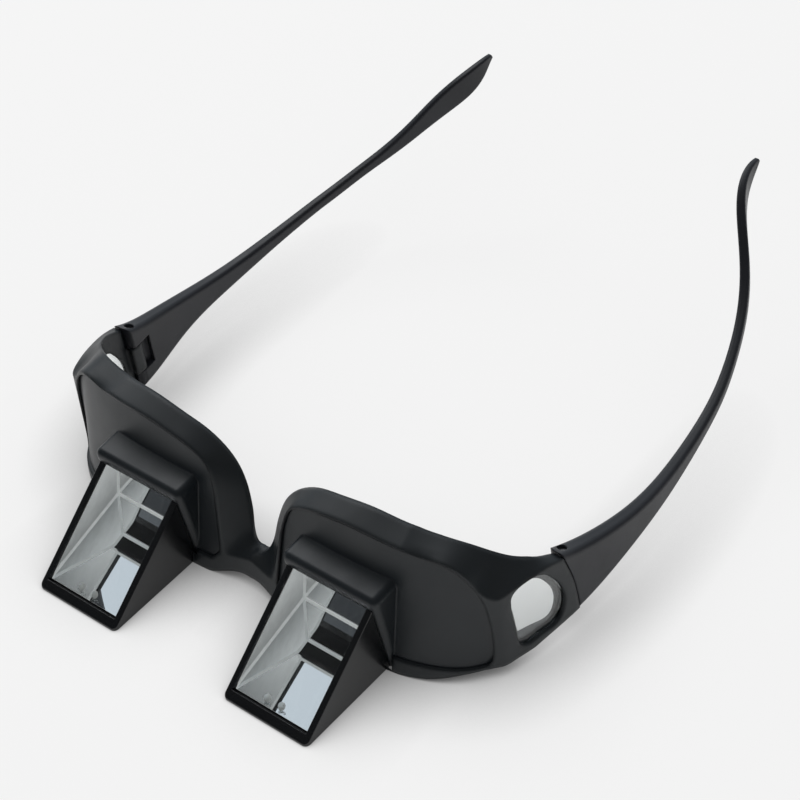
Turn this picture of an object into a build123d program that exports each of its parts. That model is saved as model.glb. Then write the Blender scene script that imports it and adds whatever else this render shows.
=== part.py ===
from build123d import *
import math
import os

os.makedirs("parts", exist_ok=True)

# The glasses lie as in use on a table: nose notch up, prism cases down.
# X runs across the face, +Y towards the wearer, +Z up. Lengths in millimetres, angles in degrees.

# Layout of the front
eye_spacing = 66.0
half_width = 77.7
wrap_depth = 40.0
front_height = 38.8
cut_overrun = 12.0
side_reach = 26.0

# Plan of the wall's two faces: place across, depth at the floor and depth at the top,
# as shares of half_width and wrap_depth
face_plan_shares = [
    (0.0, 0.045, 0.287), (0.155, 0.015, 0.257), (0.310, 0.0, 0.242), (0.465, 0.003, 0.245),
    (0.594, 0.018, 0.260), (0.676, 0.042, 0.282), (0.748, 0.085, 0.310), (0.807, 0.137, 0.340),
    (0.855, 0.202, 0.373), (0.886, 0.265, 0.390), (0.905, 0.325, 0.400), (0.922, 0.360, 0.412),
    (0.938, 0.395, 0.430), (0.952, 0.475, 0.478), (0.965, 0.560, 0.555), (0.977, 0.660, 0.665),
    (0.988, 0.790, 0.800), (0.996, 0.925, 0.930), (1.0, 1.150, 1.150),
]
back_plan_shares = [
    (0.0, 0.185, 0.427), (0.129, 0.190, 0.432), (0.258, 0.165, 0.407), (0.413, 0.155, 0.397),
    (0.568, 0.180, 0.420), (0.697, 0.240, 0.465), (0.760, 0.290, 0.500), (0.800, 0.335, 0.535),
    (0.843, 0.405, 0.585), (0.888, 0.505, 0.645), (0.920, 0.625, 0.715), (0.943, 0.760, 0.800),
    (0.957, 0.920, 0.930), (0.963, 1.150, 1.150),
]
outline_steps = 24
line_steps = 32
search_steps = 40

# Front view of the half frame, as shares of half_width and front_height
top_outline_shares = [
    (0.0, 0.242), (0.028, 0.250), (0.043, 0.310), (0.052, 0.440), (0.073, 0.600), (0.112, 0.735),
    (0.155, 0.817), (0.206, 0.884), (0.257, 0.930), (0.335, 0.966), (0.412, 0.990), (0.489, 1.0),
    (0.566, 0.990), (0.644, 0.980), (0.721, 0.978), (0.800, 0.975), (0.900, 0.970), (1.080, 0.960),
]
nasal_foot_shares = [(0.0, 0.085), (0.060, 0.078), (0.120, 0.035), (0.170, 0.0)]
foot_end_share = 0.64
outer_foot_shares = [(0.64, 0.0), (0.740, 0.020), (0.840, 0.055), (0.900, 0.080), (1.080, 0.080)]

# Side view of the lug, distance behind the front start as shares of wrap_depth, height of front_height
lug_top_shares = [
    (0.250, 1.010), (0.400, 0.985), (0.5175, 0.943), (0.5775, 0.892), (0.6375, 0.843), (0.710, 0.799),
    (0.790, 0.745), (0.880, 0.695), (0.940, 0.660), (1.050, 0.640), (1.250, 0.620),
]
lug_foot_shares = [
    (0.040, 0.0), (0.137, 0.045), (0.200, 0.072), (0.270, 0.085), (0.330, 0.082), (0.400, 0.065),
    (0.475, 0.055), (0.530, 0.072), (0.583, 0.090), (0.650, 0.106), (0.727, 0.117), (0.887, 0.129),
    (0.995, 0.133), (1.250, 0.150),
]
lug_start_share = 0.72

# Broad sloped surface over the outer corner, as shares of half_width, wrap_depth and front_height
corner_outer_shares = [
    (0.566, 0.250, 1.020), (0.644, 0.2575, 0.943), (0.721, 0.290, 0.930), (0.807, 0.3225, 0.912),
    (0.856, 0.365, 0.840), (0.896, 0.3975, 0.737), (0.929, 0.420, 0.700), (0.945, 0.465, 0.706),
    (0.959, 0.540, 0.714), (0.970, 0.645, 0.718), (0.979, 0.7625, 0.712), (0.985, 0.875, 0.682),
    (0.988, 1.0, 0.642), (0.992, 1.125, 0.624),
]
corner_inner_shares = [
    (0.566, 0.425, 1.020), (0.644, 0.4375, 0.979), (0.721, 0.460, 0.964), (0.797, 0.5175, 0.943),
    (0.837, 0.5675, 0.902), (0.869, 0.6075, 0.866), (0.891, 0.6425, 0.840), (0.906, 0.675, 0.820),
    (0.920, 0.710, 0.799), (0.933, 0.755, 0.776), (0.943, 0.7975, 0.753), (0.951, 0.8875, 0.696),
    (0.956, 1.0, 0.652), (0.959, 1.125, 0.629),
]
corner_flare = 0.35

# Sloped band round the top of each rim: outer point, inner point, depth as a share of band_depth
band_depth = 5.8
band_lead = 0.3
band_pair_shares = [
    (0.005, 0.215, 0.110, 0.165, -0.15), (0.040, 0.300, 0.122, 0.250, 0.80),
    (0.052, 0.440, 0.135, 0.440, 1.0), (0.075, 0.605, 0.150, 0.620, 1.05),
    (0.112, 0.735, 0.170, 0.757, 1.05), (0.155, 0.817, 0.195, 0.838, 1.05),
    (0.206, 0.884, 0.238, 0.886, 1.0), (0.257, 0.930, 0.283, 0.912, 0.95),
    (0.335, 0.966, 0.348, 0.932, 0.90), (0.412, 0.990, 0.418, 0.948, 0.90),
    (0.489, 1.0, 0.495, 0.952, 0.95), (0.566, 0.990, 0.572, 0.948, 1.0),
    (0.644, 0.980, 0.648, 0.943, 0.95), (0.721, 0.978, 0.722, 0.930, 0.65),
    (0.790, 0.976, 0.790, 0.905, 0.25), (0.850, 0.974, 0.850, 0.870, -0.10),
]
band_flare = 0.35

# Lens opening of the half frame, as shares of half_width and front_height
lens_foot = 4.2
lens_outline_shares = [
    (0.150, 0.620), (0.170, 0.750), (0.196, 0.828), (0.238, 0.872), (0.283, 0.897), (0.348, 0.917),
    (0.418, 0.933), (0.495, 0.937), (0.572, 0.933), (0.648, 0.928), (0.722, 0.922), (0.790, 0.905),
    (0.838, 0.843), (0.868, 0.775), (0.893, 0.685), (0.909, 0.545), (0.916, 0.370), (0.916, 0.240),
    (0.912, 0.155),
]
lens_corner_share = 0.900
nasal_corner_share = 0.160
nasal_edge_share = 0.128
nasal_edge_height_share = 0.180
lens_ledge = 1.5
lens_recess = 0.8
lens_thickness = 1.8
lens_clearance = 0.1

# Flare of the lower rim that the glasses rest on
sill_height = 3.4
sill_depth = 19.0
sill_edge_shares = [
    (0.150, 0.24), (0.185, 0.52), (0.260, 0.86), (0.380, 0.99), (0.520, 1.0), (0.640, 0.97),
    (0.720, 0.82), (0.770, 0.55),
]
sill_seat = 3.5

# Prism case, one for each eye
case_width = 28.0
case_length = 35.5
case_height = 24.7
case_front = 0.6
case_crest = 3.4
case_wall = 1.3
case_floor = 0.65
case_lip = 1.0
case_lap = 6.5
case_edge_round = 0.5
case_corner_round = 1.5
window_start = 2.6
window_end = 4.04
window_side = 1.7

# Prism and its silvered base
prism_gap = 0.05
prism_cover = 2.2
prism_bevel = 0.6
base_tilt = 3.0
coat_thickness = 0.15
backing_thickness = 0.3
coat_margin = 0.9
drop_radius = 1.1
drop_height = 0.3
drop_places = [-2.6, 2.1]
drop_offset = 2.6

# Socket of the lens panel that holds the case
socket_wall = 1.5
socket_foot_lap = 4.4
socket_top_lap = 7.0
socket_cover = 1.0
socket_top_rise = 0.6
socket_round = 2.0
fit_gap = 0.1

# Eye plate behind the prism
plate_thickness = 1.0
plate_gap = 0.1
aperture_side = 2.3
aperture_foot = 2.2
aperture_top = 1.3
aperture_round = 1.5

# Clear side window in each lug, as shares of wrap_depth behind the front start and of front_height
side_outline_shares = [
    (0.491, 0.532), (0.496, 0.620), (0.520, 0.677), (0.568, 0.702), (0.630, 0.708), (0.700, 0.696),
    (0.765, 0.650), (0.822, 0.570), (0.884, 0.438), (0.898, 0.348), (0.880, 0.250), (0.815, 0.175),
    (0.683, 0.170), (0.572, 0.164), (0.539, 0.178), (0.512, 0.246), (0.501, 0.384),
]
side_recess = 0.9
side_thickness = 1.1
side_clearance = 0.1
side_ledge = 1.5

# Hinge
hinge_inset = 3.25
hinge_share = 0.99
hinge_gap = 0.3
barrel_radius = 2.1
barrel_foot = 10.3
barrel_top = 19.3
barrel_neck = 2.6
upper_ear_radius = 2.7
lower_ear_radius = 2.0
slot_depth = 4.6
screw_radius = 0.7
screw_fit = 0.05
screw_foot = 6.0
head_radius = 1.25
head_height = 0.7
head_seat = 23.4
head_slot_width = 0.4
head_slot_depth = 0.35

# Seam between lug and temple, as shares of wrap_depth and front_height
seam_shares = [
    (0.880, 0.830), (0.905, 0.720), (0.930, 0.610), (0.960, 0.500), (0.982, 0.390), (0.998, 0.230),
    (1.006, 0.100), (1.010, -0.060),
]

# Temple: reach behind the hinge, outward place, height of the middle line, height, thickness,
# as shares of temple_reach, temple_bow, temple_rise, temple_height and temple_thickness
temple_reach = 125.85
temple_bow = 28.75
temple_rise = 46.5
temple_height = 19.9
temple_thickness = 5.2
temple_round_share = 0.30
temple_station_shares = [
    (-0.0700, 0.005, 0.357, 1.270, 0.97), (0.0111, 0.023, 0.313, 1.000, 1.00),
    (0.0906, 0.057, 0.303, 0.765, 0.89), (0.1859, 0.075, 0.303, 0.503, 0.80),
    (0.2892, 0.054, 0.306, 0.332, 0.71), (0.3925, 0.005, 0.329, 0.231, 0.65),
    (0.4879, -0.057, 0.364, 0.176, 0.60), (0.5832, -0.151, 0.415, 0.156, 0.55),
    (0.6627, -0.266, 0.475, 0.156, 0.51), (0.7263, -0.381, 0.536, 0.166, 0.51),
    (0.7898, -0.530, 0.624, 0.208, 0.51), (0.8534, -0.732, 0.768, 0.296, 0.50),
    (0.9170, -0.923, 0.897, 0.356, 0.45), (0.9646, -0.990, 0.965, 0.240, 0.38),
    (1.0000, -1.000, 1.000, 0.070, 0.26),
]

# Worked out from the sizes above
eye_x = eye_spacing / 2
front_start = case_length - case_lap
slope_length = math.hypot(case_length - case_crest, case_height - case_front)
slope_sin = (case_height - case_front) / slope_length
slope_cos = (case_length - case_crest) / slope_length
window_length = slope_length - window_start - window_end
window_width = case_width - 2 * window_side
prism_width = case_width - 2 * case_wall
lens_back = lens_recess + lens_thickness
prism_base = case_floor + 2 * prism_gap + backing_thickness + coat_thickness
prism_top = case_height - prism_cover
tilt_rise = math.tan(math.radians(base_tilt))
prism_back = case_length - prism_gap
plate_front = case_length + plate_gap
socket_width = case_width + 2 * socket_wall
socket_top = case_height + socket_cover
socket_back = plate_front + plate_thickness
hinge_x = half_width - hinge_inset
hinge_y = front_start + hinge_share * wrap_depth


def front_spot(shares):
    """A place in front view from shares of the half width and the height."""
    return (shares[0] * half_width, 0, shares[1] * front_height)


def side_spot(shares):
    """A place in side view from shares of the wrap depth and the height."""
    return (0, front_start + shares[0] * wrap_depth, shares[1] * front_height)


def corner_spot(shares):
    """A place in the room from shares of the half width, the wrap depth and the height."""
    return Vector(shares[0] * half_width, front_start + shares[1] * wrap_depth, shares[2] * front_height)


def level_line(stations, height):
    """Plan line of a leaning face at one height."""
    rise = height / front_height
    spots = []
    for across, foot, crest in stations:
        depth = foot + (crest - foot) * rise
        spots.append((across * half_width, front_start + depth * wrap_depth, height))
    return Spline(*spots, tangents=[(1, 0, 0), (0, 1, 0)])


def face_depth(x, z):
    """Depth of the outer face at a place in front view."""
    run = level_line(face_plan_shares, z)
    low = 0.0
    high = 1.0
    for step in range(search_steps):
        middle = (low + high) / 2
        if (run @ middle).X < x:
            low = middle
        else:
            high = middle
    return (run @ low).Y


def moved_in(run, inset):
    """A plan line moved inwards by a wall or recess."""
    spots = []
    for step in range(line_steps + 1):
        share = step / line_steps
        place = run @ share
        along = run % share
        spots.append((place.X - along.Y * inset, place.Y + along.X * inset, place.Z))
    return Spline(*spots, tangents=[run % 0, run % 1])


def leaning_solid(near_stations, near_inset, far_stations, far_inset):
    """The space between two leaning faces, each moved inwards."""
    sections = []
    for height in (-cut_overrun / 2, front_height + cut_overrun / 2):
        near = moved_in(level_line(near_stations, height), near_inset)
        far = moved_in(level_line(far_stations, height), far_inset)
        sides = [near, far, Line(near @ 0, far @ 0), Line(near @ 1, far @ 1)]
        sections.append(make_face(sides))
    return loft(sections, ruled=True)


def shell(near, far):
    """A leaning wall between two depths behind the outer face."""
    return leaning_solid(face_plan_shares, near, face_plan_shares, far)


def front_prism(edges):
    """The space behind an outline in front view."""
    return extrude(make_face(edges), amount=front_start + wrap_depth + cut_overrun, dir=(0, 1, 0))


def side_prism(edges, start, width):
    """The space across an outline in side view, from start outwards."""
    return Pos(start, 0, 0) * extrude(make_face(edges), amount=width, dir=(1, 0, 0))


def closed(points):
    """A closed outline of straight edges."""
    return Polyline(*points, close=True).edges()


def drawn_in(run, inset, facing, closed_run):
    """Places along a clockwise outline moved inwards, seen against the facing direction."""
    count = outline_steps if closed_run else outline_steps - 1
    spots = []
    for step in range(outline_steps):
        share = step / count
        inwards = (run % share).cross(Vector(*facing)).normalized()
        spots.append((run @ share) + inwards * inset)
    return Spline(*spots, periodic=closed_run)


def lens_space(inset):
    """The lens opening's space from front to back, drawn in by a margin."""
    run = drawn_in(Spline(*[front_spot(s) for s in lens_outline_shares]), inset, (0, -1, 0), False)
    nasal_side = (nasal_edge_share * half_width + inset, 0, nasal_edge_height_share * front_height)
    nasal_foot = (nasal_corner_share * half_width + inset, 0, lens_foot + inset)
    outer_foot = (lens_corner_share * half_width - inset, 0, lens_foot + inset)
    corners = Polyline(run @ 0, nasal_side, nasal_foot, outer_foot, run @ 1)
    return front_prism([run] + list(corners.edges()))


def side_window_space(inset):
    """The side window's space across the lug, drawn in by a margin."""
    whole = Spline(*[side_spot(s) for s in side_outline_shares], periodic=True)
    run = drawn_in(whole, inset, (1, 0, 0), True)
    return side_prism([run], half_width - side_reach / 2, side_reach)


def half_outline():
    """Front view of the half frame."""
    top = Spline(*[front_spot(s) for s in top_outline_shares])
    nasal_foot = Spline(*[front_spot(s) for s in nasal_foot_shares])
    outer_foot = Spline(*[front_spot(s) for s in outer_foot_shares])
    return [
        top,
        nasal_foot,
        Line(nasal_foot @ 1, outer_foot @ 0),
        outer_foot,
        Line(outer_foot @ 1, top @ 1),
        Line(nasal_foot @ 0, top @ 0),
    ]


def lug_top_cut():
    """What lies above the lug's falling top edge."""
    run = Spline(*[side_spot(s) for s in lug_top_shares])
    roof = front_height + cut_overrun
    front_corner = (0, (run @ 0).Y, roof)
    back_corner = (0, (run @ 1).Y, roof)
    edges = [run, Line(run @ 0, front_corner), Line(front_corner, back_corner), Line(back_corner, run @ 1)]
    return side_prism(edges, lug_start_share * half_width, side_reach + cut_overrun)


def lug_foot_cut():
    """What lies below the lug's rising lower edge."""
    run = Spline(*[side_spot(s) for s in lug_foot_shares])
    front_corner = (0, (run @ 0).Y, -cut_overrun)
    back_corner = (0, (run @ 1).Y, -cut_overrun)
    edges = [run, Line(run @ 0, front_corner), Line(front_corner, back_corner), Line(back_corner, run @ 1)]
    return side_prism(edges, lug_start_share * half_width, side_reach + cut_overrun)


def ruled_strip(first, second):
    """A surface of straight lines between matching places of two rows."""
    reach = [0.0]
    for before, after in zip(zip(first, second), zip(first[1:], second[1:])):
        reach.append(reach[-1] + (after[0] - before[0]).length + (after[1] - before[1]).length)
    parameters = [step / reach[-1] for step in reach]
    lines = [Edge.make_spline(row, parameters=parameters) for row in (first, second)]
    return Face.make_surface_from_curves(*lines)


def band_cut():
    """What lies in front of the sloped band round the rim."""
    inner = []
    outer = []
    for outer_x, outer_z, inner_x, inner_z, depth in band_pair_shares:
        far_x = outer_x * half_width
        far_z = outer_z * front_height
        near_x = inner_x * half_width
        near_z = inner_z * front_height
        near = Vector(near_x, face_depth(near_x, near_z) - band_lead, near_z)
        far = Vector(far_x, face_depth(far_x, far_z) + depth * band_depth, far_z)
        inner.append(near)
        outer.append(far + (far - near) * band_flare)
    return extrude(ruled_strip(inner, outer), amount=wrap_depth, dir=(0, -1, 0))


def corner_cut():
    """What lies above the broad surface over the outer corner."""
    outer = []
    inner = []
    for low, high in zip(corner_outer_shares, corner_inner_shares):
        step = (corner_spot(high) - corner_spot(low)) * corner_flare
        outer.append(corner_spot(low) - step)
        inner.append(corner_spot(high) + step)
    return extrude(ruled_strip(outer, inner), amount=front_height, dir=(0, 0, 1))


def sill():
    """The lower rim's flare, which carries the front on the table."""
    spots = [(x * half_width, front_start + share * sill_depth) for x, share in sill_edge_shares]
    run = Spline(*spots)
    seat_y = front_start + sill_seat
    edges = [
        run,
        Line(run @ 0, (spots[0][0], seat_y)),
        Line((spots[0][0], seat_y), (foot_end_share * half_width, seat_y)),
        Line((foot_end_share * half_width, seat_y), run @ 1),
    ]
    return extrude(make_face(edges), amount=sill_height, dir=(0, 0, 1))


def seam_side(shift):
    """Everything behind the seam between lug and temple, moved back by shift."""
    run = Spline(*[side_spot(s) for s in seam_shares])
    back = front_start + 2 * wrap_depth
    roof = front_height + cut_overrun
    points = [run @ 0, (0, (run @ 0).Y, roof), (0, back, roof), (0, back, (run @ 1).Z), run @ 1]
    edges = [run] + list(Polyline(*points).edges())
    return Pos(0, shift, 0) * side_prism(edges, half_width - side_reach, 2 * side_reach)


def upright(radius, foot, top):
    """A cylinder on the hinge axis."""
    return Pos(hinge_x, hinge_y, foot) * Cylinder(
        radius, top - foot, align=(Align.CENTER, Align.CENTER, Align.MIN))


def block(low, high):
    """A box between two corners."""
    size = [b - a for a, b in zip(low, high)]
    return Pos(*low) * Box(*size, align=(Align.MIN, Align.MIN, Align.MIN))


def hinge_barrel():
    """The lug's knuckle and its neck."""
    barrel = upright(barrel_radius, barrel_foot, barrel_top)
    neck = block(
        (hinge_x - barrel_radius, hinge_y - barrel_neck, barrel_foot),
        (hinge_x + barrel_radius, hinge_y, barrel_top))
    return barrel + neck


def slope_depth(height, margin):
    """Depth at which the case's window plane, moved outwards by a margin, has a height."""
    return (height - case_front - margin / slope_cos) * slope_cos / slope_sin


def case_block():
    """The wedge that the case fills."""
    points = [
        (0, 0, 0),
        (0, 0, case_front),
        (0, slope_depth(case_height, 0), case_height),
        (0, case_length, case_height),
        (0, case_length, 0),
    ]
    return side_prism(closed(points), eye_x - case_width / 2, case_width)


def case_pocket():
    """The room for the case and the eye plate, open to the back and below."""
    ceiling = case_height + fit_gap
    back = front_start + wrap_depth
    points = [
        (0, slope_depth(-cut_overrun, fit_gap), -cut_overrun),
        (0, slope_depth(ceiling, fit_gap), ceiling),
        (0, back, ceiling),
        (0, back, -cut_overrun),
    ]
    width = case_width + 2 * fit_gap
    return side_prism(closed(points), eye_x - width / 2, width)


def base_height(depth, below):
    """Height of the prism's tilted base at a depth, moved down by a distance."""
    return prism_base - below + depth * tilt_rise


def base_tip(grow):
    """Depth at which the tilted base meets the sloped face, both grown by a gap."""
    start = case_front - (case_lip + prism_gap - grow) / slope_cos
    return (prism_base - grow - start) / (slope_sin / slope_cos - tilt_rise)


def prism_block(grow, back, width):
    """The wedge of glass under the window, grown by a gap."""
    tip = base_tip(grow)
    roof = prism_top + grow
    points = [
        (0, tip, base_height(tip, grow)),
        (0, slope_depth(roof, grow - case_lip - prism_gap), roof),
        (0, back, roof),
        (0, back, base_height(back, grow)),
    ]
    return side_prism(closed(points), eye_x - width / 2, width)


def on_window(along, above):
    """Plane of the case's window, its origin moved up the slope and outwards."""
    origin = (
        eye_x,
        along * slope_cos - above * slope_sin,
        case_front + along * slope_sin + above * slope_cos,
    )
    return Plane(origin=origin, x_dir=(1, 0, 0), z_dir=(0, -slope_sin, slope_cos))


def socket_block(grow):
    """The socket's outer wedge, grown by a gap all round."""
    foot = -cut_overrun if grow else 0
    lens_foot_depth = face_depth(eye_x, 0) + lens_back
    lens_top_depth = face_depth(eye_x, socket_top) + lens_back
    meeting = socket_top * (socket_back - lens_foot_depth) / (lens_top_depth - lens_foot_depth)
    points = [
        (0, case_length - socket_foot_lap - grow, foot),
        (0, case_length - socket_top_lap - grow, socket_top + grow),
        (0, lens_top_depth + grow, socket_top + socket_top_rise + grow),
        (0, socket_back + grow, meeting),
        (0, socket_back + grow, foot),
    ]
    width = socket_width + 2 * grow
    return side_prism(closed(points), eye_x - width / 2, width)


def prism_case():
    """Wedge-shaped case with a window over the prism."""
    outer = case_block()
    outer = fillet(outer.edges().filter_by(Axis.Z).sort_by(Axis.Y)[:2], case_corner_round)
    outer = fillet(outer.edges().sort_by(SortBy.LENGTH)[-2:], case_edge_round)
    room = prism_block(prism_gap, case_length + cut_overrun, prism_width + 2 * prism_gap)
    tray = base_sheet(-prism_gap, prism_base - case_floor + prism_gap, -prism_gap, -cut_overrun)
    opening = on_window(window_start + window_length / 2, 0) * Box(
        window_width, window_length, 2 * (case_lip + prism_gap))
    return outer - room - tray - opening


def prism():
    """Glass prism with a tilted base, a flat top and bevelled edges."""
    solid = prism_block(0, prism_back, prism_width)
    return chamfer(solid.edges(), prism_bevel)


def base_sheet(below, thickness, side_margin, back_margin):
    """A thin sheet along the prism's tilted base."""
    front = base_tip(0) + 2 * side_margin
    back = prism_back - back_margin
    points = [
        (0, front, base_height(front, below)),
        (0, back, base_height(back, below)),
        (0, back, base_height(back, below + thickness)),
        (0, front, base_height(front, below + thickness)),
    ]
    width = prism_width - 2 * side_margin
    return side_prism(closed(points), eye_x - width / 2, width)


def mirror_coat():
    """Silvered sheet under the prism's base."""
    return base_sheet(prism_gap, coat_thickness, coat_margin, coat_margin)


def mirror_backing():
    """Paint behind the silvering."""
    return base_sheet(prism_gap + coat_thickness, backing_thickness, coat_margin, coat_margin)


def prism_adhesive():
    """Two drops of clear adhesive at the window's lower edge."""
    ball_radius = (drop_radius ** 2 + drop_height ** 2) / (2 * drop_height)
    drops = []
    for place in drop_places:
        base = on_window(window_start + drop_offset, -case_lip - prism_gap)
        ball = base * Pos(place, 0, drop_height - ball_radius) * Sphere(ball_radius)
        above = base * Pos(place, 0, ball_radius) * Box(2 * ball_radius, 2 * ball_radius, 2 * ball_radius)
        drops.append(ball & above)
    return drops


def eye_plate():
    """Plate with a rounded aperture that closes the socket behind the prism."""
    centre = (eye_x, plate_front, case_height / 2)
    face = Plane(origin=centre, x_dir=(1, 0, 0), z_dir=(0, -1, 0))
    outer = Rectangle(case_width, case_height)
    width = case_width - 2 * aperture_side
    height = case_height - aperture_foot - aperture_top
    hole = Pos(0, (aperture_foot - aperture_top) / 2) * RectangleRounded(width, height, aperture_round)
    return extrude(face * (outer - hole), amount=-plate_thickness)


def lens_panel():
    """Lens-shaped panel with the socket for the prism case."""
    sheet = shell(lens_recess, lens_back) & lens_space(lens_clearance)
    socket = socket_block(0)
    top_edges = [
        e for e in socket.edges()
        if e.center().Y < socket_back - fit_gap and e.center().Z > socket_round
    ]
    socket = fillet(top_edges, socket_round)
    return sheet + socket - case_pocket()


def half_frame():
    """Right half of the front frame."""
    body = leaning_solid(face_plan_shares, 0, back_plan_shares, 0) & front_prism(half_outline())
    body = body - lug_top_cut() - lug_foot_cut() - band_cut() - corner_cut()
    body = body + sill()
    body = body - (shell(-cut_overrun / 2, lens_back + lens_clearance) & lens_space(0))
    body = body - lens_space(lens_ledge)
    body = body - socket_block(fit_gap)
    body = body - block(
        (eye_x - case_width / 2 - fit_gap, 0, -cut_overrun),
        (eye_x + case_width / 2 + fit_gap, case_length - socket_foot_lap, lens_foot + cut_overrun))
    recess = side_recess + side_thickness + side_clearance
    body = body - (shell(-cut_overrun / 2, recess) & side_window_space(0))
    body = body - side_window_space(side_ledge)
    body = body - seam_side(0)
    body = body - upright(upper_ear_radius + hinge_gap, barrel_top, front_height + cut_overrun)
    body = body - upright(lower_ear_radius + hinge_gap, -cut_overrun, barrel_foot)
    body = body - upright(barrel_radius + hinge_gap, barrel_foot, barrel_top) + hinge_barrel()
    return body - upright(screw_radius, -cut_overrun, front_height + cut_overrun)


def side_window():
    """Clear pane of the lug."""
    return shell(side_recess, side_recess + side_thickness) & side_window_space(side_clearance)


def temple_section(number):
    """One rounded section square to the temple's path."""
    def spot(shares):
        return Vector(
            hinge_x + shares[1] * temple_bow,
            hinge_y + shares[0] * temple_reach,
            shares[2] * temple_rise)
    last = len(temple_station_shares) - 1
    shares = temple_station_shares[number]
    before = spot(temple_station_shares[max(number - 1, 0)])
    after = spot(temple_station_shares[min(number + 1, last)])
    along = (after - before).normalized()
    across = along.cross(Vector(0, 0, 1)).normalized()
    width = shares[4] * temple_thickness
    height = shares[3] * temple_height
    centre = spot(shares)
    sheet = Plane(origin=centre, x_dir=across, z_dir=along)
    radius = min(width, height) * temple_round_share
    return sheet * RectangleRounded(width, height, radius)


def temple():
    """Right temple with its two hinge ears."""
    blade = loft([temple_section(number) for number in range(len(temple_station_shares))])
    ears = upright(upper_ear_radius, barrel_top + hinge_gap, front_height)
    ears = ears + upright(lower_ear_radius, -cut_overrun, barrel_foot - hinge_gap)
    inner = block(
        (hinge_x - wrap_depth, hinge_y - wrap_depth, -cut_overrun),
        (hinge_x, hinge_y + hinge_gap, front_height + cut_overrun))
    outer = block(
        (hinge_x, hinge_y - wrap_depth, -cut_overrun),
        (hinge_x + cut_overrun, hinge_y + slot_depth, front_height + cut_overrun))
    ahead = inner + (outer - seam_side(hinge_gap))
    blade = blade - (ahead - ears)
    slot = upright(barrel_radius + hinge_gap, barrel_foot - hinge_gap, barrel_top + hinge_gap)
    slot = slot + block(
        (hinge_x - cut_overrun, hinge_y - cut_overrun, barrel_foot - hinge_gap),
        (hinge_x, hinge_y + slot_depth, barrel_top + hinge_gap))
    blade = blade - slot
    blade = blade - upright(screw_radius + screw_fit, screw_foot - screw_fit, front_height)
    return blade - upright(head_radius + screw_fit, head_seat - screw_fit, front_height)


def hinge_screw():
    """Screw with a slotted round head."""
    shank = upright(screw_radius, screw_foot, head_seat)
    head = upright(head_radius, head_seat, head_seat + head_height)
    drive = Pos(hinge_x, hinge_y, head_seat + head_height) * Box(
        2 * head_radius, head_slot_width, 2 * head_slot_depth)
    return shank + head - drive


def whole_frame():
    """Both halves of the front frame in one piece."""
    half = half_frame()
    return half + mirror(half, about=Plane.YZ)


def solids_of(shape):
    """A piece's solids as one list."""
    if isinstance(shape, (list, tuple)):
        return [solid for piece in shape for solid in piece.solids()]
    return list(shape.solids())


makers = {
    "lens_panel": lens_panel,
    "prism_case": prism_case,
    "prism": prism,
    "mirror_coat": mirror_coat,
    "mirror_backing": mirror_backing,
    "prism_adhesive": prism_adhesive,
    "eye_plate": eye_plate,
    "side_window": side_window,
    "temple": temple,
    "hinge_screw": hinge_screw,
}
pieces = {"front_frame": Compound(children=solids_of(whole_frame()))}
for name, maker in makers.items():
    right = Compound(children=solids_of(maker()))
    pieces["right_" + name] = right
    pieces["left_" + name] = mirror(right, about=Plane.YZ)

# The origin is the middle of the overall box, on the table
boxes = [piece.bounding_box() for piece in pieces.values()]
near_y = min(box.min.Y for box in boxes)
far_y = max(box.max.Y for box in boxes)
low_z = min(box.min.Z for box in boxes)
home = Pos(0, -(near_y + far_y) / 2, -low_z)
for name, piece in pieces.items():
    export_step(home * piece, "parts/" + name + ".step")
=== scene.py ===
import math

import bpy
from mathutils import Matrix, Vector

# Prism bed glasses lying upside down on a pale table, seen from the front right and above.
# Lengths in metres, angles in degrees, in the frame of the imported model.

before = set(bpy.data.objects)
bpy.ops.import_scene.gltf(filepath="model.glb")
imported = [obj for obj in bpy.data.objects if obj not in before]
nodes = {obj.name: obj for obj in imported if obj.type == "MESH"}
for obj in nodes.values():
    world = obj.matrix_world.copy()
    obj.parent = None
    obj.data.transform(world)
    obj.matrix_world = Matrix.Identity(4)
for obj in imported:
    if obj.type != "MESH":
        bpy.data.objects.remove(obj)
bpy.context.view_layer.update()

# Camera
camera_place = (0.36346, -0.34184, 0.48031)
camera_azimuth = 47.049
camera_elevation = 43.096
camera_roll = -10.006
camera_lens = 115.79
camera_sensor = 36.0

# Table, with a painted contact shadow around the glasses
floor_size = 6.0
floor_gap = 0.00005
floor_colour = (0.905, 0.905, 0.905)
backdrop_colour = (0.913, 0.913, 0.913)
even_share = 0.68
contact_reach = 0.022
contact_start = 0.3
painted_contact_shade = 0.10

# Light from the room: an overhead sky, and a bright side and a dark side in reflections
up = (0, 0, 1)
sky_start = 0.20
sky_end = 0.95
low_sky = (0.30, 0.30, 0.30)
high_sky = (1.15, 1.15, 1.15)
bright_side = (-0.55, 0.80, 0.25)
bright_start = 0.15
bright_end = 0.90
bright_colour = (0.60, 0.66, 0.72)
dark_colour = (0.035, 0.038, 0.042)
unscattered_depth = 0.5

# Lamp
key_place = (-1.1, 0.5, 1.3)
key_size = 0.9
key_power = 6.0
light_target = (0.0, 0.0, 0.02)

# Directions of the prism's faces
case_slope = math.radians(36.9)
base_tilt = math.radians(3.0)
square_limit = 0.999

# Painted light in the prisms: glow emitted by the ground sides, stronger towards the top, and by
# the ground edges as painted highlight lines, standing in for light scattered inside the glass
glow_height = 0.022
low_glow = 0.0
high_glow = 0.50
edge_glow = 0.32

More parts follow.
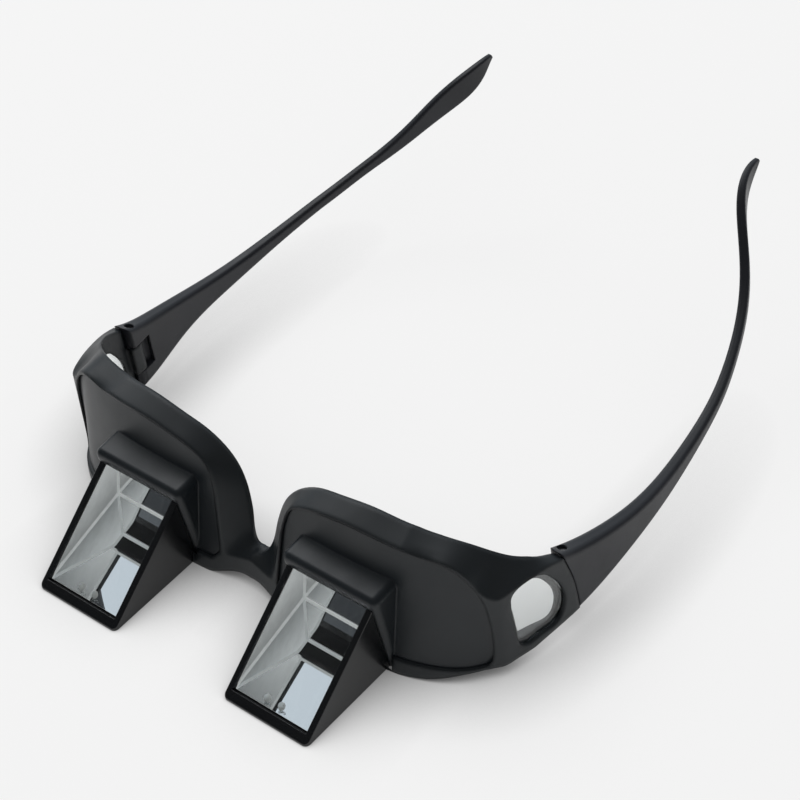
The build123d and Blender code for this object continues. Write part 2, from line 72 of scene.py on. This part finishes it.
# Colours
frame_black = (0.0085, 0.0112, 0.0132)
panel_black = (0.0075, 0.0102, 0.0125)
case_black = (0.0050, 0.0055, 0.0062)
temple_black = (0.0095, 0.0105, 0.0140)
glass_tint = (0.965, 0.985, 0.980)
# The ground glass's colour, which is also the colour of its painted glow
ground_glass_and_glow = (0.62, 0.64, 0.64)
silver = (0.90, 0.92, 0.93)
backing_grey = (0.060, 0.062, 0.068)
painted_black = (0.010, 0.010, 0.011)
glue_white = (0.50, 0.53, 0.52)
pane_tint = (0.93, 0.96, 0.955)
screw_grey = (0.28, 0.28, 0.29)

# Refraction
prism_index = 1.517
glue_index = 1.48
pane_index = 1.58

# Marks in the surfaces: the noise's usual range, and the fineness and strength of each kind
noise_low = 0.3
noise_high = 0.7
noise_detail = 3.0
patch_scale = 34.0
patch_dark_share = 0.86
patch_light_share = 1.16
polish_scale = 90.0
polish_gain = 0.04
polish_loss = 0.05
grain_scale = 2600.0
grain_detail = 2.0
grain_depth = 0.00004
edge_samples = 6
ground_scale = 300.0
ground_dark_share = 0.85
ground_rough = 0.55
painted_rough = 0.6
glue_scale = 700.0
glue_dark_share = 0.75
glue_clear_share = 0.60
glue_low_rough = 0.25
glue_high_rough = 0.45
smudge_scale = 120.0
smudge_rough = 0.05
metal_dark_share = 0.93


def add_node(tree, kind, feeds, **settings):
    """A node with its settings, and with its sockets linked or set by name."""
    node = tree.nodes.new(kind)
    for name, value in settings.items():
        setattr(node, name, value)
    for name, value in feeds.items():
        socket = node.inputs[name]
        if isinstance(value, bpy.types.NodeSocket):
            tree.links.new(value, socket)
        elif socket.type == "RGBA":
            socket.default_value = (*value, 1)
        else:
            socket.default_value = value
    return node


def new_material(name):
    """An empty node material and its nodes."""
    material = bpy.data.materials.new(name)
    material.use_nodes = True
    material.node_tree.nodes.clear()
    return material, material.node_tree


def finish_material(tree, surface):
    """Ends a material's nodes in its surface."""
    add_node(tree, "ShaderNodeOutputMaterial", {"Surface": surface})


def principled(tree, feeds):
    """A principled shader."""
    return add_node(tree, "ShaderNodeBsdfPrincipled", feeds).outputs["BSDF"]


def add_noise(tree, scale, detail=noise_detail):
    """Noise in the object's own coordinates."""
    place = add_node(tree, "ShaderNodeTexCoord", {}).outputs["Object"]
    feeds = {"Vector": place, "Scale": scale, "Detail": detail}
    return add_node(tree, "ShaderNodeTexNoise", feeds).outputs["Fac"]


def rescale(tree, value, start, end, low, high, interpolation="LINEAR"):
    """A value between start and end carried to the range between low and high."""
    feeds = {"Value": value, "From Min": start, "From Max": end, "To Min": low, "To Max": high}
    node = add_node(tree, "ShaderNodeMapRange", feeds, interpolation_type=interpolation)
    return node.outputs["Result"]


def spread(tree, noise, low, high):
    """Noise stretched from its usual range to low and high."""
    return rescale(tree, noise, noise_low, noise_high, low, high)


def blend_colours(tree, share, low, high):
    """A colour between two others, by a share from nothing to one."""
    feeds = {"Factor": share, "A": low, "B": high}
    return add_node(tree, "ShaderNodeMix", feeds, data_type="RGBA").outputs["Result"]


def shade(colour, share):
    """A colour made lighter or darker by a share."""
    return tuple(part * share for part in colour)


def mottled(tree, noise, colour, dark_share, light_share=1.0):
    """A colour that varies with noise between a darker and a lighter share of itself."""
    span = spread(tree, noise, 0.0, 1.0)
    return blend_colours(tree, span, shade(colour, dark_share), shade(colour, light_share))


def along(tree, vector, direction):
    """How far a vector points along a direction."""
    feeds = {0: vector, 1: direction}
    node = add_node(tree, "ShaderNodeVectorMath", feeds, operation="DOT_PRODUCT")
    return node.outputs["Value"]


def compute(tree, operation, *values):
    """The result of an operation on sockets or plain numbers."""
    feeds = dict(enumerate(values))
    return add_node(tree, "ShaderNodeMath", feeds, operation=operation).outputs["Value"]


def facing(tree, normal, direction):
    """The value one where a surface lies square to a direction, on either side."""
    size = compute(tree, "ABSOLUTE", along(tree, normal, direction))
    return compute(tree, "GREATER_THAN", size, square_limit)


def leaning(angle):
    """The direction square to a face that rises backwards at an angle."""
    return (0, -math.sin(angle), math.cos(angle))


def mix_shaders(tree, share, first, second):
    """One shader where a share is nothing, and another where it is one."""
    feeds = {0: share, 1: first, 2: second}
    return add_node(tree, "ShaderNodeMixShader", feeds).outputs["Shader"]


def moulded_plastic(name, colour, rough, specular, grain, edge):
    """Moulded plastic: fine spark-eroded grain, handled patches and softened edges."""
    material, tree = new_material(name)
    rounded = add_node(tree, "ShaderNodeBevel", {"Radius": edge}, samples=edge_samples)
    pits = {
        "Strength": grain,
        "Distance": grain_depth,
        "Height": add_noise(tree, grain_scale, grain_detail),
        "Normal": rounded.outputs["Normal"],
    }
    patches = add_noise(tree, patch_scale)
    polish = add_noise(tree, polish_scale)
    shader = principled(tree, {
        "Base Color": mottled(tree, patches, colour, patch_dark_share, patch_light_share),
        "Roughness": spread(tree, polish, rough - polish_gain, rough + polish_loss),
        "Specular IOR Level": specular,
        "Normal": add_node(tree, "ShaderNodeBump", pits).outputs["Normal"],
    })
    finish_material(tree, shader)
    return material


def prism_glass(name):
    """Glass with polished window and back, silvered base, painted crown, and ground sides and edges
    that glow with painted light.
    """
    material, tree = new_material(name)
    surface = add_node(tree, "ShaderNodeNewGeometry", {})
    normal = surface.outputs["True Normal"]
    spot = add_node(tree, "ShaderNodeSeparateXYZ", {"Vector": surface.outputs["Position"]})
    # Painted light: the ground sides glow more the higher they are, and the ground edges glow
    # evenly as painted highlight lines
    flank_glow = rescale(tree, spot.outputs["Z"], 0.0, glow_height, low_glow, high_glow)
    flank = facing(tree, normal, (1, 0, 0))
    glow = add_node(tree, "ShaderNodeMix", {"Factor": flank, "A": edge_glow, "B": flank_glow})
    base = facing(tree, normal, leaning(base_tilt))
    back = facing(tree, normal, (0, 1, 0))
    slope = facing(tree, normal, leaning(case_slope))
    crown = facing(tree, normal, up)
    crown_edge = facing(tree, normal, leaning(case_slope / 2))
    clear = principled(tree, {
        "Base Color": glass_tint,
        "Transmission Weight": 1.0,
        "IOR": prism_index,
        "Roughness": 0.0,
    })
    # The ground faces emit a painted glow; they are no lamp
    ground = principled(tree, {
        "Base Color": mottled(tree, add_noise(tree, ground_scale), ground_glass_and_glow, ground_dark_share),
        "Roughness": ground_rough,
        "Emission Color": ground_glass_and_glow,
        "Emission Strength": glow.outputs["Result"],
    })
    silvered = principled(tree, {"Base Color": silver, "Metallic": 1.0, "Roughness": 0.0})
    painted = principled(tree, {"Base Color": painted_black, "Roughness": painted_rough})
    faces = mix_shaders(tree, compute(tree, "MAXIMUM", back, slope), ground, clear)
    mirrored = mix_shaders(tree, base, faces, silvered)
    whole = mix_shaders(tree, compute(tree, "MAXIMUM", crown, crown_edge), mirrored, painted)
    finish_material(tree, whole)
    return material


def milky_glue(name):
    """Cured adhesive, whitish and half clear."""
    material, tree = new_material(name)
    noise = add_noise(tree, glue_scale)
    shader = principled(tree, {
        "Base Color": mottled(tree, noise, glue_white, glue_dark_share),
        "Roughness": spread(tree, noise, glue_low_rough, glue_high_rough),
        "Transmission Weight": glue_clear_share,
        "IOR": glue_index,
    })
    finish_material(tree, shader)
    return material


def clear_plastic(name):
    """Clear moulded plastic with faint smudges."""
    material, tree = new_material(name)
    shader = principled(tree, {
        "Base Color": pane_tint,
        "Roughness": spread(tree, add_noise(tree, smudge_scale), 0.0, smudge_rough),
        "Transmission Weight": 1.0,
        "IOR": pane_index,
    })
    finish_material(tree, shader)
    return material


def metal(name, colour, low_rough, high_rough, scale):
    """Bare metal with fine variation in its polish."""
    material, tree = new_material(name)
    noise = add_noise(tree, scale)
    shader = principled(tree, {
        "Base Color": mottled(tree, noise, colour, metal_dark_share),
        "Roughness": spread(tree, noise, low_rough, high_rough),
        "Metallic": 1.0,
    })
    finish_material(tree, shader)
    return material


def add_camera():
    """The photograph's view, from its fitted place, direction and roll."""
    azimuth = math.radians(camera_azimuth)
    elevation = math.radians(camera_elevation)
    roll = math.radians(camera_roll)
    level = math.cos(elevation)
    back = Vector((math.sin(azimuth) * level, -math.cos(azimuth) * level, math.sin(elevation)))
    flat_right = Vector(up).cross(back).normalized()
    flat_up = back.cross(flat_right)
    picture_right = math.cos(roll) * flat_right + math.sin(roll) * flat_up
    picture_up = math.cos(roll) * flat_up - math.sin(roll) * flat_right
    data = bpy.data.cameras.new("camera")
    data.sensor_width = camera_sensor
    data.lens = camera_lens
    camera = bpy.data.objects.new("camera", data)
    bpy.context.scene.collection.objects.link(camera)
    turn = Matrix((picture_right, picture_up, back)).transposed().to_4x4()
    camera.matrix_world = Matrix.Translation(camera_place) @ turn
    bpy.context.scene.camera = camera


def add_lamp():
    """A soft square lamp behind the glasses on the left, facing them."""
    data = bpy.data.lights.new("key", "AREA")
    data.shape = "SQUARE"
    data.size = key_size
    data.energy = key_power
    lamp = bpy.data.objects.new("key", data)
    bpy.context.scene.collection.objects.link(lamp)
    ahead = Vector(light_target) - Vector(key_place)
    turn = ahead.to_track_quat("-Z", "Y").to_matrix().to_4x4()
    lamp.matrix_world = Matrix.Translation(key_place) @ turn


def toward(tree, direction, start, end):
    """A value that rises smoothly from nothing to one as a ray turns to a direction."""
    ray = add_node(tree, "ShaderNodeTexCoord", {}).outputs["Generated"]
    share = along(tree, ray, Vector(direction).normalized())
    return rescale(tree, share, start, end, 0.0, 1.0, "SMOOTHSTEP")


def add_world():
    """Soft light, mostly from above; reflections see a bright side and a dark side of the room."""
    world = bpy.data.worlds.new("studio")
    bpy.context.scene.world = world
    world.use_nodes = True
    tree = world.node_tree
    tree.nodes.clear()
    path = add_node(tree, "ShaderNodeLightPath", {}).outputs
    room_share = toward(tree, bright_side, bright_start, bright_end)
    room = blend_colours(tree, room_share, dark_colour, bright_colour)
    sky_share = toward(tree, up, sky_start, sky_end)
    sky = blend_colours(tree, sky_share, low_sky, high_sky)
    lit = blend_colours(tree, path["Is Camera Ray"], sky, backdrop_colour)
    clear_path = compute(tree, "LESS_THAN", path["Diffuse Depth"], unscattered_depth)
    image = compute(tree, "MAXIMUM", path["Is Glossy Ray"], path["Is Transmission Ray"])
    seen = compute(tree, "MULTIPLY", clear_path, image)
    light = add_node(tree, "ShaderNodeBackground", {"Color": blend_colours(tree, seen, lit, room)})
    add_node(tree, "ShaderNodeOutputWorld", {"Surface": light.outputs["Background"]})


def add_floor():
    """The pale table top: even paper to the camera, with the lamp's shadow and a painted contact
    shadow from ambient occlusion.
    """
    half = floor_size / 2
    sides = ((-half, -half), (half, -half), (half, half), (-half, half))
    data = bpy.data.meshes.new("floor")
    data.from_pydata([(x, y, -floor_gap) for x, y in sides], [], [(0, 1, 2, 3)])
    floor = bpy.data.objects.new("floor", data)
    bpy.context.scene.collection.objects.link(floor)
    material, tree = new_material("floor_paper")
    paper = add_node(tree, "ShaderNodeBsdfDiffuse", {"Color": floor_colour}).outputs["BSDF"]
    # Painted shadow: the paper's glow to the camera darkens where ambient occlusion finds the
    # glasses close by
    contact = add_node(tree, "ShaderNodeAmbientOcclusion", {"Distance": contact_reach})
    shadow = rescale(tree, contact.outputs["AO"], contact_start, 1.0, painted_contact_shade, 1.0)
    feeds = {"Color": backdrop_colour, "Strength": shadow}
    even = add_node(tree, "ShaderNodeEmission", feeds).outputs["Emission"]
    path = add_node(tree, "ShaderNodeLightPath", {})
    seen = compute(tree, "MULTIPLY", path.outputs["Is Camera Ray"], even_share)
    finish_material(tree, mix_shaders(tree, seen, paper, even))
    data.materials.append(material)


def dress(name, material):
    """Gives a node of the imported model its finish."""
    for slot in nodes[name].material_slots:
        slot.material = material


frame_finish = moulded_plastic(
    "frame_plastic", frame_black, rough=0.42, specular=0.40, grain=0.25, edge=0.0015
)
paired_finishes = {
    "lens_panel": moulded_plastic(
        "panel_plastic", panel_black, rough=0.38, specular=0.40, grain=0.18, edge=0.0006
    ),
    "prism_case": moulded_plastic(
        "case_plastic", case_black, rough=0.22, specular=0.50, grain=0.08, edge=0.0003
    ),
    "eye_plate": moulded_plastic(
        "plate_plastic", frame_black, rough=0.45, specular=0.35, grain=0.25, edge=0.0003
    ),
    "temple": moulded_plastic(
        "temple_plastic", temple_black, rough=0.40, specular=0.40, grain=0.25, edge=0.0007
    ),
    "mirror_backing": moulded_plastic(
        "backing_paint", backing_grey, rough=0.60, specular=0.30, grain=0.30, edge=0.0001
    ),
    "prism": prism_glass("prism_glass"),
    "mirror_coat": metal("silvering", silver, low_rough=0.0, high_rough=0.02, scale=60.0),
    "prism_adhesive": milky_glue("milky_adhesive"),
    "side_window": clear_plastic("window_plastic"),
    "hinge_screw": metal("screw_steel", screw_grey, low_rough=0.25, high_rough=0.40, scale=900.0),
}

dress("front_frame", frame_finish)
for side in ("left_", "right_"):
    for kind, finish in paired_finishes.items():
        dress(side + kind, finish)

add_camera()
add_world()
add_floor()
add_lamp()
bpy.context.scene.view_settings.view_transform = "Standard"
